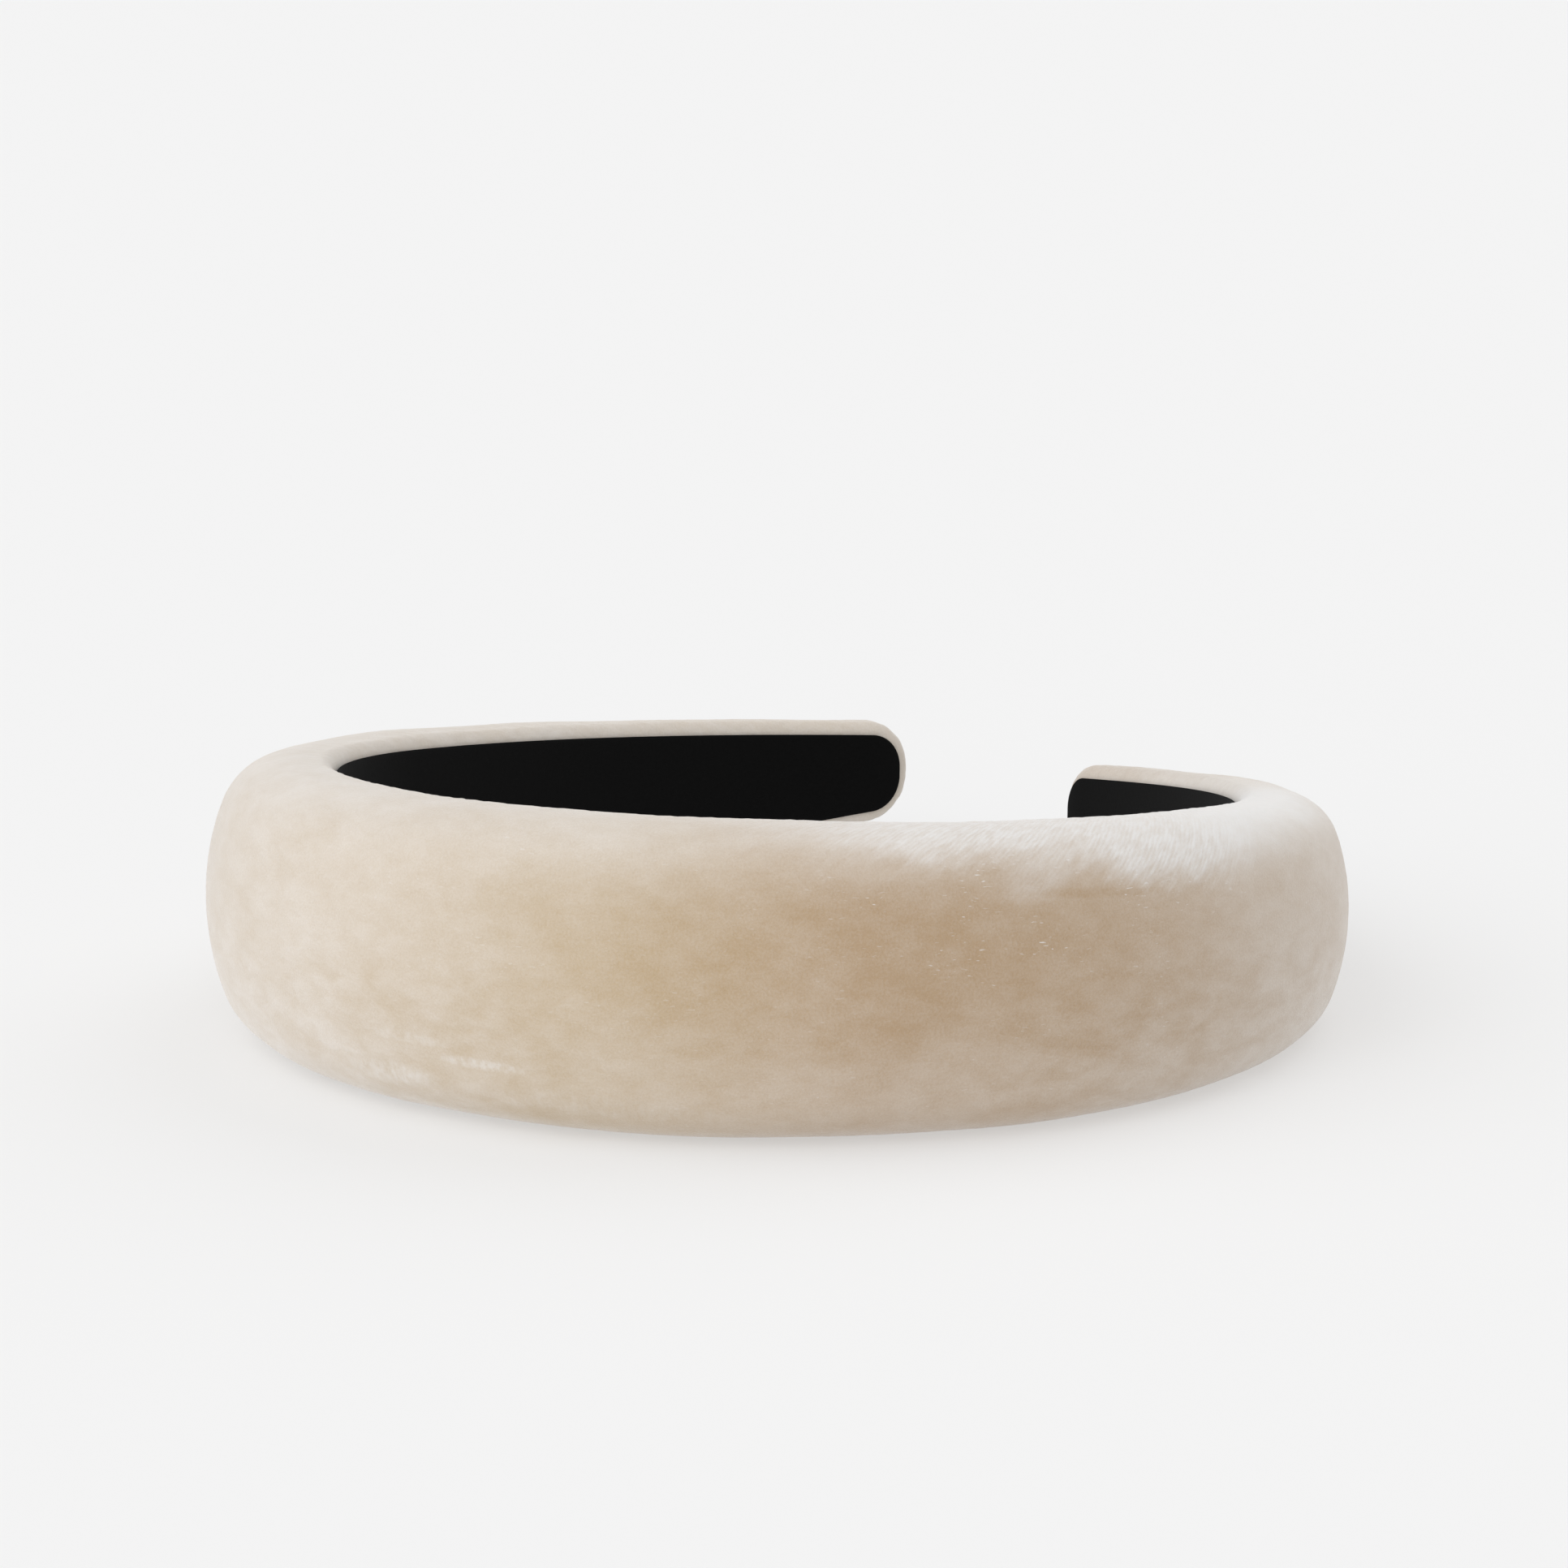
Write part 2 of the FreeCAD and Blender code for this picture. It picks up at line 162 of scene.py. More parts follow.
def padding_grid(count, tip_count, counts, inset, face, blunt=6):
    """Grid of (station, ring) points of the padded form: positions, arc length and way round the section."""
    length, corner = ARM_LENGTH - inset, TIP_ROUND - inset
    station = stations(length, corner, count, tip_count)
    fall = tip_fall(station, length, corner)
    arc = np.abs(station)
    half = half_width(np.minimum(arc, length)) - inset - corner * (1 - fall)
    lift = rise(np.minimum(arc, length))
    rows, across = [], []
    for h, t, k in zip(half, lift, fall ** (2 / blunt)):
        upper = half_section(counts, h, t, inset, face)
        middle = (upper[0, 0] + upper[-1, 0]) / 2
        upper[:, 0] = middle + (upper[:, 0] - middle) * k
        ring = np.concatenate([upper, upper[-2:0:-1] * (1, -1)])
        steps = np.linalg.norm(np.diff(upper, axis=0), axis=1)
        walked = np.concatenate([[0], np.cumsum(steps)])
        from_top = walked[-1] - walked
        rows.append(ring)
        across.append(np.concatenate([from_top, -from_top[-2:0:-1]]))
    ring = np.array(rows)
    where = np.broadcast_to(station[:, None], ring.shape[:2])
    return place(where, ring[..., 0], ring[..., 1]), where, np.array(across)


def tube_faces(rows, ring):
    """Quads between neighbouring rings."""
    faces = []
    for i in range(rows - 1):
        for j in range(ring):
            k = (j + 1) % ring
            faces.append((i * ring + j, i * ring + k, (i + 1) * ring + k, (i + 1) * ring + j))
    return faces


def closed_tube(name, points, attributes=None, facing=None):
    """A smooth closed mesh from a grid of rings, with a small cap on each end."""
    rows, ring = points.shape[:2]
    flat = points.reshape(-1, 3)
    caps = [points[0].mean(0), points[-1].mean(0)]
    faces = tube_faces(rows, ring)
    first, last = len(flat), len(flat) + 1
    for j in range(ring):
        k = (j + 1) % ring
        faces.append((first, k, j))
        faces.append((last, (rows - 1) * ring + j, (rows - 1) * ring + k))
    mesh = bpy.data.meshes.new(name)
    mesh.from_pydata(np.concatenate([flat, caps]).tolist(), [], faces)
    mesh.polygons.foreach_set("use_smooth", np.ones(len(mesh.polygons), bool))
    for key, values in (attributes or {}).items():
        values = np.concatenate([values.reshape(-1), [values[0].mean(), values[-1].mean()]])
        mesh.attributes.new(key, "FLOAT", "POINT").data.foreach_set("value", values.astype(np.float32))
    mesh.update()
    if facing is not None:
        ends = [points[0].mean(0) - points[1].mean(0), points[-1].mean(0) - points[-2].mean(0)]
        ends = [end / np.linalg.norm(end) for end in ends]
        mesh.normals_split_custom_set_from_vertices(np.concatenate([facing.reshape(-1, 3), ends]).tolist())
    obj = bpy.data.objects.new(name, mesh)
    bpy.context.scene.collection.objects.link(obj)
    return obj


# BEND is the reach of the bend at the joint, measured across the band. The crown span is cut at SEAM along
# the arc, where every point is past BEND. The tips are closer to the middle than BEND, so the arms never
# bend.
BEND, SEAM = 0.036, 0.042


def three_spans(name, points, where, across):
    """Left arm, crown and right arm of one soft piece, cut so that only the crown crosses the joint."""
    station, facing = where[:, 0], normals(points)
    first, last = int(np.searchsorted(station, -SEAM)), int(np.searchsorted(station, SEAM))
    cuts = (("left_arm", 0, first), ("crown", first, last), ("right_arm", last, len(station) - 1))
    spans = []
    for part, i, j in cuts:
        rows = slice(i, j + 1)
        spans.append(closed_tube(name + "_" + part, points[rows],
                                 {"along": where[rows], "across": across[rows]}, facing[rows]))
    return spans, cuts


# ---- cloth ----

COVER_COUNTS = (20, 8, 5, 12, 16)
CLOTH_COUNTS = (6, 3, 2, 4, 6)
CLOTH_START = 0.0005
CLOTH_CAP = 0.0011
CLOTH_MASS, CLOTH_PRESSURE, CLOTH_QUALITY = 0.2, 4, 6
CLOTH_STRETCH, CLOTH_SHEAR, CLOTH_BENDING = 0.5, 0.25, 0.05
CLOTH_FRAMES = 20


def half_ring_knots(counts):
    """Place of each ring point, counted in segments of the section, for the whole ring."""
    upper = np.concatenate([k + np.arange(n) / n for k, n in enumerate(counts)] + [[len(counts)]])
    return np.concatenate([upper, 2 * len(counts) - upper[-2:0:-1]])


def cubic_weights(positions, knots, period=None):
    """Matrix that resamples values at the knots to the positions with smooth (Catmull-Rom) steps."""
    n = len(knots)
    extended = np.append(knots, knots[0] + period) if period else knots
    index = np.clip(np.searchsorted(extended, positions, side="right") - 1, 0, len(extended) - 2)
    t = (positions - extended[index]) / (extended[index + 1] - extended[index])
    t = np.clip(t, 0, 1)
    weights = np.zeros((len(positions), n))
    shape = (-t / 2 + t ** 2 - t ** 3 / 2, 1 - 2.5 * t ** 2 + 1.5 * t ** 3,
             t / 2 + 2 * t ** 2 - 1.5 * t ** 3, -t ** 2 / 2 + t ** 3 / 2)
    for shift, share in zip((-1, 0, 1, 2), shape):
        at = index + shift
        at = at % n if period else np.clip(at, 0, n - 1)
        np.add.at(weights, (np.arange(len(positions)), at), share)
    return weights


def cloth_skin(start, knots):
    """The skin to be blown up, held at the head side and at both ends."""
    rows, ring = start.shape[:2]
    skin = closed_tube("cloth_skin", start)
    free = np.clip((np.minimum(knots, 2 * len(CLOTH_COUNTS) - knots) - 1.0) / 1.2, 0, 1)
    held = skin.vertex_groups.new(name="held")
    for j, share in enumerate(free):
        if share < 1:
            held.add([i * ring + j for i in range(rows)], 1 - float(share), "REPLACE")
    held.add([rows * ring, rows * ring + 1], 1.0, "REPLACE")
    cloth = skin.modifiers.new("Cloth", "CLOTH")
    settings = cloth.settings
    settings.quality = CLOTH_QUALITY
    settings.mass = CLOTH_MASS
    settings.tension_stiffness = settings.compression_stiffness = CLOTH_STRETCH
    settings.shear_stiffness = CLOTH_SHEAR
    settings.bending_stiffness = CLOTH_BENDING
    settings.use_pressure = True
    settings.uniform_pressure_force = CLOTH_PRESSURE
    settings.vertex_group_mass = "held"
    settings.effector_weights.gravity = 0
    cloth.collision_settings.use_collision = False
    cloth.point_cache.frame_start, cloth.point_cache.frame_end = 1, CLOTH_FRAMES
    return skin


def puffed(where):
    """Movement of the velvet, from a cloth simulation of a slightly smaller skin under pressure."""
    start, start_where, _ = padding_grid(150, 5, CLOTH_COUNTS, CLOTH_START, MARGIN_FACE + CLOTH_START)
    rows, ring = start.shape[:2]
    knots = half_ring_knots(CLOTH_COUNTS)
    skin = cloth_skin(start, knots)
    scene = bpy.context.scene
    for step in range(1, CLOTH_FRAMES + 1):
        scene.frame_set(step)
    evaluated = skin.evaluated_get(bpy.context.evaluated_depsgraph_get())
    after = np.empty(len(skin.data.vertices) * 3, np.float32)
    evaluated.data.vertices.foreach_get("co", after)
    after = after.reshape(-1, 3)[:-2].reshape(rows, ring, 3)
    scene.frame_set(1)
    bpy.data.objects.remove(skin)
    move = after - start
    distance = np.linalg.norm(move, axis=-1, keepdims=True)
    print("cloth: mean %.5f max %.5f" % (distance.mean(), distance.max()))
    move = move * (CLOTH_CAP * np.tanh(distance / CLOTH_CAP) / np.maximum(distance, 1e-9))
    along = cubic_weights(where[:, 0], start_where[:, 0])
    around = cubic_weights(half_ring_knots(COVER_COUNTS), knots, 2 * len(CLOTH_COUNTS))
    return np.einsum("ai,ijc,bj->abc", along, move, around)


def normals(points):
    """Outward directions of a grid of rings."""
    along = np.gradient(points, axis=0)
    around = np.roll(points, -1, axis=1) - np.roll(points, 1, axis=1)
    cross = np.cross(around, along)
    return cross / np.maximum(np.linalg.norm(cross, axis=-1, keepdims=True), 1e-12)


def lumps(points, scale, seed):
    """Smooth noise at each point, in about -1 to 1."""
    flat = points.reshape(-1, 3) * scale + seed
    return np.array([noise.noise(Vector(p)) for p in flat.tolist()]).reshape(points.shape[:-1])


def make_cover():
    """The velvet: the padded form with the cloth's swell, slow lumps and a fine pile."""
    points, where, across = padding_grid(540, 14, COVER_COUNTS, 0.0, MARGIN_FACE)
    outward = normals(points)
    knots = half_ring_knots(COVER_COUNTS)
    free = np.clip((np.minimum(knots, 2 * len(COVER_COUNTS) - knots) - 1.0) / 1.5, 0, 1)[None, :, None]
    swell = puffed(where)
    level = (swell * outward).sum(-1, keepdims=True)
    points = points + outward * (level - level.mean()) * free
    points = points + outward * 0.00022 * lumps(points, 60, 3.1)[..., None] * free
    fuzz = lumps(points, 900, 7.7) + 0.6 * lumps(points, 1900, 1.3)
    rim = np.exp(-((np.minimum(knots, 2 * len(COVER_COUNTS) - knots) - 1.7) / 0.8) ** 2)[None, :]
    points = points + outward * (0.00003 + 0.00006 * rim[..., None]) * fuzz[..., None]
    return three_spans("velvet_cover", points, where, across)[0]


def make_foam():
    """The foam inside the velvet, a little smaller all round."""
    points, where, across = padding_grid(200, 5, (12, 2, 4, 8, 10), FOAM_INSET, FOAM_FACE)
    return three_spans("foam_padding", points, where, across)[0]


def make_lining():
    """The black ribbon: a thin strip with rounded tips and pressed edges."""
    length, corner = ARM_LENGTH - LINING_INSET, TIP_ROUND - LINING_INSET
    station = stations(length, corner, 400, 12)
    fall = tip_fall(station, length, corner)
    half = half_width(np.minimum(np.abs(station), length)) - LINING_INSET - corner * (1 - fall)
    share = np.sin(np.linspace(-math.pi / 2, math.pi / 2, 31))
    thick = LINING_THICKNESS / 2
    edge = np.sqrt(np.maximum(1 - np.abs(share) ** 14, 0)) * thick
    middle = MARGIN_FACE - LINING_THICKNESS / 2 - 0.0001
    front = np.stack([middle - edge, share], -1)
    back = np.stack([middle + edge, share], -1)[-2:0:-1]
    ring = np.concatenate([front, back])
    outward = np.broadcast_to(ring[None, :, 0], (len(station), len(ring)))
    cover_fall = tip_fall(station, ARM_LENGTH, TIP_ROUND)
    tip_middle = (MARGIN_FACE + MARGIN_FACE + RIM_RADIUS + TIP_RISE) / 2
    lift = (tip_middle - MARGIN_FACE) * (1 - cover_fall ** (1 / 3))
    outward = outward + lift[:, None]
    up = half[:, None] * ring[None, :, 1]
    where = np.broadcast_to(station[:, None], up.shape)
    spans, cuts = three_spans("lining", place(where, outward, up), where, up)
    sizes = [(float(2 * half[i:j + 1].max()), float(station[j] - station[i]),
              float(np.trapz(2 * half[i:j + 1], station[i:j + 1]))) for _, i, j in cuts]
    return spans, sizes


# ---- materials ----

class Nodes:
    """Short way to build a material's nodes."""

    def __init__(self, name):
        self.material = bpy.data.materials.new(name)
        self.material.use_nodes = True
        self.tree = self.material.node_tree
        self.shader = self.tree.nodes["Principled BSDF"]

    def add(self, kind, inputs=None, **settings):
        node = self.tree.nodes.new("ShaderNode" + kind)
        for key, value in settings.items():
            setattr(node, key, value)
        for key, value in (inputs or {}).items():
            self.put(node.inputs[key], value)
        return node

    def put(self, socket, value):
        if isinstance(value, bpy.types.NodeSocket):
            self.tree.links.new(value, socket)
        else:
            socket.default_value = value

    def math(self, operation, first, second=0.0, third=0.0, clamp=False):
        node = self.add("Math", {0: first, 1: second, 2: third}, operation=operation, use_clamp=clamp)
        return node.outputs[0]

    def field(self, name):
        return self.add("Attribute", attribute_name=name).outputs["Fac"]

    def noise(self, vector, scale, detail=2.0, roughness=0.5, distortion=0.0):
        node = self.add("TexNoise", {"Vector": vector, "Scale": scale, "Detail": detail,
                                     "Roughness": roughness, "Distortion": distortion})
        return node.outputs["Fac"]

    def span(self, value, low, high, to_low=0.0, to_high=1.0, smooth=True):
        kind = "SMOOTHSTEP" if smooth else "LINEAR"
        node = self.add("MapRange", {"Value": value, "From Min": low, "From Max": high, "To Min": to_low,
                                     "To Max": to_high}, interpolation_type=kind)
        return node.outputs["Result"]

    def mix(self, share, first, second):
        node = self.add("Mix", data_type="RGBA")
        self.put(node.inputs["Factor"], share)
        self.put(node.inputs[6], first)
        self.put(node.inputs[7], second)
        return node.outputs[2]

    def bump(self, height, distance, strength=1.0, normal=None):
        node = self.add("Bump", {"Height": height, "Distance": distance, "Strength": strength})
        if normal is not None:
            self.put(node.inputs["Normal"], normal)
        return node.outputs["Normal"]

    def shade(self, **inputs):
        for key, value in inputs.items():
            self.put(self.shader.inputs[key.replace("_", " ")], value)


def blob(m, along, across, centre, size, tilt=0.0):
    """Soft round patch in band coordinates: 1 in its middle, 0 past its size."""
    dx = m.math("SUBTRACT", along, centre[0])
    dy = m.math("SUBTRACT", across, centre[1])
    c, s = math.cos(math.radians(tilt)), math.sin(math.radians(tilt))
    u = m.math("ADD", m.math("MULTIPLY", dx, c / size[0]), m.math("MULTIPLY", dy, s / size[0]))
    v = m.math("ADD", m.math("MULTIPLY", dx, -s / size[1]), m.math("MULTIPLY", dy, c / size[1]))
    d = m.math("ADD", m.math("MULTIPLY", u, u), m.math("MULTIPLY", v, v))
    return m.span(d, 1.0, 0.0)


# Tan where the band faces the eye, cream where painted sheen and light fall; painted shares mix the two.
TAN = (0.425, 0.305, 0.195, 1)
TAN_YELLOW = (0.45, 0.335, 0.195, 1)
CREAM = (0.69, 0.64, 0.585, 1)
# White of the painted highlights and glints.
HIGHLIGHT_WHITE = (0.78, 0.775, 0.77, 1)


def painted_sheen_share(m, along, across, flat, grain):
    """0 where the pile stands up to the eye and looks tan, 1 where it looks cream: painted sheen and light,
    with random mottle.
    """
    # Painted light: cream towards the left, where the light from the left falls.
    left = m.span(along, 0.028, -0.045)
    # Painted sheen: cream towards the right arm.
    right = m.span(along, 0.040, 0.082)
    # Painted sheen on the top rim, weaker where the left ramp is strong.
    upper = m.math("MULTIPLY", m.span(across, 0.0085, 0.0205), m.span(left, 1.0, 0.2, 0.25, 1.0))
    # Painted light from below: cream on the lower rim of the middle.
    middle = m.math("MULTIPLY", m.span(along, -0.006, 0.016), m.span(along, 0.070, 0.052))
    lower = m.math("MULTIPLY", m.span(across, -0.002, -0.014), m.math("MULTIPLY_ADD", middle, 0.19, 0.06))
    share = m.math("MULTIPLY", left, 0.66)
    for patch, weight in ((right, 0.46), (upper, 0.47), (lower, 1.0)):
        share = m.math("ADD", share, m.math("MULTIPLY", patch, weight))
    cloud = m.span(m.noise(flat, 75, 2, 0.5, 0.4), 0.3, 0.7, -0.07, 0.07, smooth=False)
    turned = m.add("Mapping", {"Vector": flat, "Rotation": (0, 0, math.radians(25)), "Scale": (0.8, 1.2, 1)})
    mottle = m.span(m.noise(turned.outputs[0], 300, 4, 0.6, 0.25), 0.35, 0.65, -1, 1, smooth=False)
    strong = m.math("MULTIPLY", m.span(across, 0.004, -0.006), m.span(m.math("ABSOLUTE", m.math(
        "SUBTRACT", along, 0.02)), 0.012, 0.034))
    spots = m.math("MULTIPLY", mottle, m.math("MULTIPLY_ADD", strong, 0.05, 0.065))
    # Painted shade: a thin darker streak on the upper right, the shade of a fold.
    painted_crease_shade = m.math("MULTIPLY", blob(m, along, across, (0.050, 0.0112), (0.011, 0.0008), -4), -0.12)
    for mark in (cloud, spots, painted_crease_shade, m.span(grain, 0.3, 0.7, -0.09, 0.09, smooth=False), 0.1):
        share = m.math("ADD", share, mark)
    return m.math("MULTIPLY", share, 1.0, clamp=True), mottle


def painted_highlight_mark(m, along, across, flat):
    """Painted highlight on the upper right: a whitish mark where the pile lies towards the light, and its
    slanting rows.
    """
    smooth_end = m.span(along, 0.060, 0.080)
    skew = m.math("SUBTRACT", along, m.math("MULTIPLY", across, 0.85))
    row_space = m.add("CombineXYZ", {"X": skew, "Y": m.math("MULTIPLY", across, 0.5)}).outputs[0]
    edge = m.math("ADD", m.span(along, 0.012, 0.037, 0.0206, 0.0166),
                  m.span(along, 0.047, 0.057, 0.0, -0.0046))
    edge = m.math("ADD", edge, m.span(along, 0.063, 0.080, 0.0, 0.0030))
    broad = m.math("MULTIPLY", m.math("SUBTRACT", m.noise(flat, 170, 4, 0.6), 0.5), 0.007)
    tufted = m.math("MULTIPLY", m.math("SUBTRACT", m.noise(row_space, 900, 2, 0.5), 0.5),
                    m.span(smooth_end, 0, 1, 0.005, 0.0))
    height = m.math("SUBTRACT", m.math("SUBTRACT", across, edge), m.math("ADD", broad, tufted))
    softness = m.math("ADD", m.span(along, 0.03, 0.045, 0.0038, 0.0034),
                      m.math("MULTIPLY", smooth_end, 0.0012))
    rising = m.math("DIVIDE", height, softness)
    reach = m.math("MULTIPLY", m.span(along, 0.004, 0.036, 0.0, 1.0), m.span(along, 0.135, 0.100))
    lobe = m.math("MULTIPLY", blob(m, along, across, (0.0445, 0.0145), (0.0065, 0.0036), 38), 0.36)
    mark = m.math("MAXIMUM", m.math("MULTIPLY", reach, m.span(rising, -1.0, 1.2)), lobe)
    rows = m.add("TexWave", {"Vector": row_space, "Scale": 470, "Distortion": 4.0, "Detail": 3.0,
                             "Detail Scale": 1.5}, wave_type="BANDS", bands_direction="X").outputs["Fac"]
    tufts = m.span(m.noise(row_space, 1100, 3, 0.6), 0.35, 0.65)
    lines = m.math("ADD", m.math("MULTIPLY", rows, 0.16), m.math("MULTIPLY", tufts, 0.30))
    lines = m.math("MULTIPLY", lines, m.span(smooth_end, 0, 1, 1.0, 0.3))
    lines = m.math("ADD", lines, m.span(smooth_end, 0, 1, 0.42, 0.78))
    return m.math("MULTIPLY", mark, lines, clamp=True), m.math("MULTIPLY", mark, lines)


# Painted highlights on tufts of pile: centre, size and weight of each patch, in band coordinates.
TUFT_HIGHLIGHT_PATCHES = (
    ((-0.0105, -0.0107), (0.0060, 0.0009), 0.4),
    ((-0.0185, -0.0084), (0.0060, 0.0010), 0.22),
    ((-0.0215, -0.0137), (0.0070, 0.0020), 0.32),
    ((0.000, -0.0150), (0.016, 0.0022), 0.12),
)


def painted_tuft_highlights(m, along, across, flat):
    """Small painted highlights on tufts of pile on the lower left."""
    marks = 0.0
    for centre, size, weight in TUFT_HIGHLIGHT_PATCHES:
        marks = m.math("ADD", m.math("MULTIPLY", blob(m, along, across, centre, size, -3), weight), marks)
    stretched = m.add("Mapping", {"Vector": flat, "Scale": (1.6, 0.7, 1)})
    tufts = m.span(m.noise(stretched.outputs[0], 900, 3, 0.6), 0.38, 0.62, 0.25, 1.0)
    return m.math("MULTIPLY", marks, tufts)


def stray_glints(m, along, across, flat):
    """Short single fibres that catch the light."""
    turned = m.add("Mapping", {"Vector": flat, "Rotation": (0, 0, math.radians(35)), "Scale": (0.45, 1.6, 1)})
    fibre = m.noise(turned.outputs[0], 2300, 1, 0.5, 0.3)
    cluster = m.span(m.noise(flat, 150, 2, 0.5), 0.42, 0.66)
    near = m.math("ADD", m.math("MULTIPLY", blob(m, along, across, (0.042, 0.009), (0.026, 0.011)), 0.7), 0.3)
    return m.math("MULTIPLY", m.span(fibre, 0.67, 0.75), m.math("MULTIPLY", cluster, near))


def velvet():
    m = Nodes("velvet_cream")
    along, across = m.field("along"), m.field("across")
    flat = m.add("CombineXYZ", {"X": along, "Y": across}).outputs[0]
    grain = m.noise(m.add("TexCoord").outputs["Object"], 3600, 3, 0.65)
    share, mottle = painted_sheen_share(m, along, across, flat, grain)
    highlight_share, rows = painted_highlight_mark(m, along, across, flat)
    glints = stray_glints(m, along, across, flat)
    # Painted sheen and light: tan where the band faces the eye, cream where the share says.
    colour = m.mix(share, m.mix(m.span(along, 0.030, -0.005), TAN, TAN_YELLOW), CREAM)
    # Painted highlights, mixed in white: the mark on the upper right and the tufts on the lower left, then
    # the glints.
    colour = m.mix(m.math("MAXIMUM", highlight_share, painted_tuft_highlights(m, along, across, flat)), colour, HIGHLIGHT_WHITE)
    colour = m.mix(m.math("MULTIPLY", glints, 0.8), colour, HIGHLIGHT_WHITE)
    m.shade(Base_Color=colour, Roughness=0.85, Sheen_Weight=0.7, Sheen_Roughness=0.35,
            Sheen_Tint=(1.0, 0.98, 0.96, 1))
    m.shade(Specular_IOR_Level=0.15)
    normal = m.bump(mottle, 0.00005, 0.3)
    height = m.math("ADD", grain, m.math("MULTIPLY", rows, 0.8))
    m.shade(Normal=m.bump(height, 0.00012, 0.6, normal))
    return m.material


def black_lining():
    m = Nodes("lining_black")
    spot = m.add("TexCoord").outputs["Object"]
    weave = m.noise(spot, 1800, 2, 0.5)
    m.shade(Base_Color=m.mix(weave, (0.0012, 0.0012, 0.0012, 1), (0.003, 0.003, 0.003, 1)), Roughness=0.9,
            Sheen_Weight=0.01, Sheen_Roughness=0.5)
    m.shade(Specular_IOR_Level=0.1)
    m.shade(Normal=m.bump(weave, 0.00005, 0.5))
    return m.material


def plain_layer(name, dark, light, scale, rough, bump):
    m = Nodes(name)
    spot = m.add("TexCoord").outputs["Object"]
    grain = m.noise(spot, scale, 4, 0.6)
    m.shade(Base_Color=m.mix(grain, dark, light), Roughness=rough)
    m.shade(Normal=m.bump(grain, bump, 0.5))
    return m.material


def give(obj, material):
    obj.data.materials.clear()
    obj.data.materials.append(material)


# ---- pieces ----

cover, foam = make_cover(), make_foam()
lining, lining_sizes = make_lining()
foam_look = plain_layer("foam_white", (0.6, 0.56, 0.42, 1), (0.75, 0.72, 0.6, 1), 900, 0.95, 0.0003)
for spans, look, slot, node in ((cover, velvet(), "velvet", "velvet_cover"),
                                (foam, foam_look, "foam", "foam_pad"),
                                (lining, black_lining(), "lining", "lining_ribbon")):
    left, crown, right = spans
    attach(left, "left_half")
    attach(right, "right_half")
    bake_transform(crown)
    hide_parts(node + "_left", node + "_right")
    for piece in spans:
        give(piece, look)

LAYERS = (
    ("core_band", "plastic_strip", (0.05, 0.05, 0.05, 1), (0.07, 0.07, 0.07, 1), 300, 0.45, 0.00003),
    ("foam_tape", "foam_tape_white", (0.75, 0.75, 0.72, 1), (0.8, 0.8, 0.78, 1), 700, 0.7, 0.00003),
    ("margin_tape", "margin_tape_clear", (0.6, 0.58, 0.5, 1), (0.7, 0.68, 0.6, 1), 700, 0.3, 0.00003),
    ("lining_glue", "dry_glue", (0.6, 0.55, 0.42, 1), (0.72, 0.68, 0.55, 1), 400, 0.35, 0.0001),
)
layers = {start: plain_layer(*look) for start, *look in LAYERS}
for name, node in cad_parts.items():
    for start, material in layers.items():
        if name.startswith(start):
            give(node, material)

# ---- floor, light and camera ----

floor_mesh = bpy.data.meshes.new("floor")
REACH = 30.0
floor_mesh.from_pydata([(-REACH, -REACH, 0), (REACH, -REACH, 0), (REACH, REACH, 0), (-REACH, REACH, 0)], [],
                       [(0, 1, 2, 3)])
floor = bpy.data.objects.new("floor", floor_mesh)
bpy.context.scene.collection.objects.link(floor)
paper = Nodes("paper_floor")
# The floor glows a little, like a light table, so that the shadow stays faint.
paper.shade(Base_Color=(0.43, 0.43, 0.43, 1), Roughness=1.0, Specular_IOR_Level=0.0,
            Emission_Color=(1, 1, 1, 1), Emission_Strength=0.45)
give(floor, paper.material)

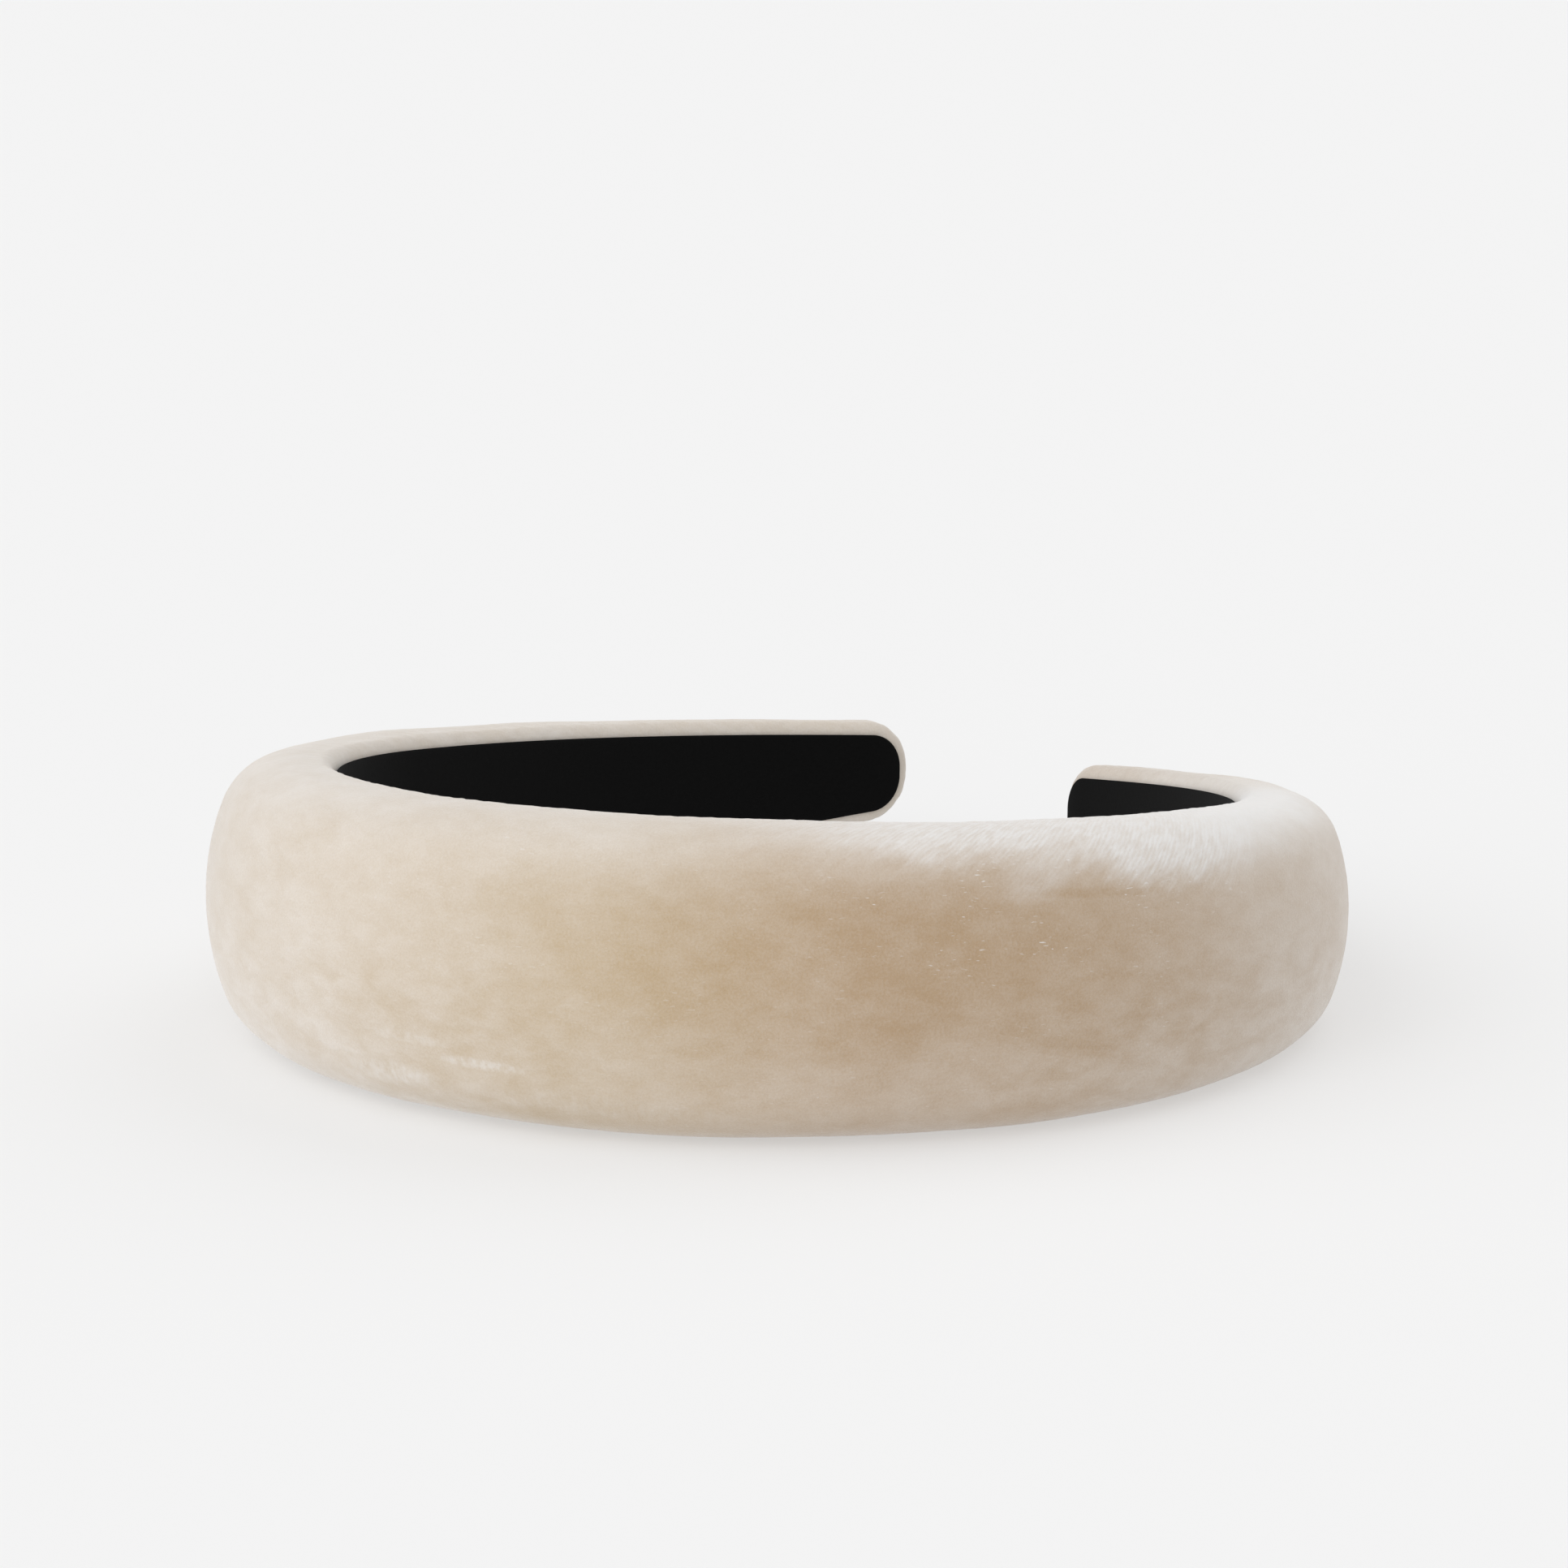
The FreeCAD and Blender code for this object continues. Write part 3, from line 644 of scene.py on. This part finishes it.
WORLD_LIGHT = 0.55
world = bpy.data.worlds.new("studio")
bpy.context.scene.world = world
world.use_nodes = True
world.node_tree.nodes["Background"].inputs["Color"].default_value = (1, 1, 1, 1)
world.node_tree.nodes["Background"].inputs["Strength"].default_value = WORLD_LIGHT


def soft_sun(name, azimuth, elevation, spread, strength):
    """A wide soft light: azimuth 0 shines from the crown's side (-Y), and 90 from the right (+X)."""
    light = bpy.data.lights.new(name, "SUN")
    light.energy, light.angle = strength, math.radians(spread)
    obj = bpy.data.objects.new(name, light)
    a, e = math.radians(azimuth), math.radians(elevation)
    towards = Vector((math.sin(a) * math.cos(e), -math.cos(a) * math.cos(e), math.sin(e)))
    obj.rotation_euler = towards.to_track_quat("Z", "Y").to_euler()
    bpy.context.scene.collection.objects.link(obj)


soft_sun("key", -55, 35, 80, 1.1)
soft_sun("fill", 0, 24, 60, 1.0)
soft_sun("back", 150, 42, 60, 0.8)

CAMERA_DISTANCE, CAMERA_LENS = 0.725, 126.8
CAMERA_TURN, CAMERA_RISE, CAMERA_ROLL = math.radians(-18.85), math.radians(8.71), math.radians(0.58)
CAMERA_SHIFT = Vector((-0.00014, 0, -0.0141))
CAMERA_PIVOT = Vector((0, 0.057, 0))


def make_camera():
    data = bpy.data.cameras.new("camera")
    data.lens, data.sensor_width = CAMERA_LENS, 36
    data.clip_start, data.clip_end = 0.05, 100
    camera = bpy.data.objects.new("camera", data)
    bpy.context.scene.collection.objects.link(camera)
    bpy.context.scene.camera = camera
    eye = Vector((0, -math.cos(CAMERA_RISE), math.sin(CAMERA_RISE))) * CAMERA_DISTANCE
    up = Vector((0, math.sin(CAMERA_RISE), math.cos(CAMERA_RISE)))
    right = Vector((1, 0, 0))
    c, s = math.cos(CAMERA_ROLL), math.sin(CAMERA_ROLL)
    axes = Matrix((right * c + up * s, up * c - right * s, eye.normalized())).transposed()
    view = Matrix.Translation(eye) @ axes.to_4x4()
    undo = (Matrix.Translation(CAMERA_PIVOT) @ Matrix.Rotation(-CAMERA_TURN, 4, "Z")
            @ Matrix.Translation(-CAMERA_SHIFT))
    camera.matrix_world = REST @ undo @ view


make_camera()
bpy.context.scene.view_settings.view_transform = "Standard"
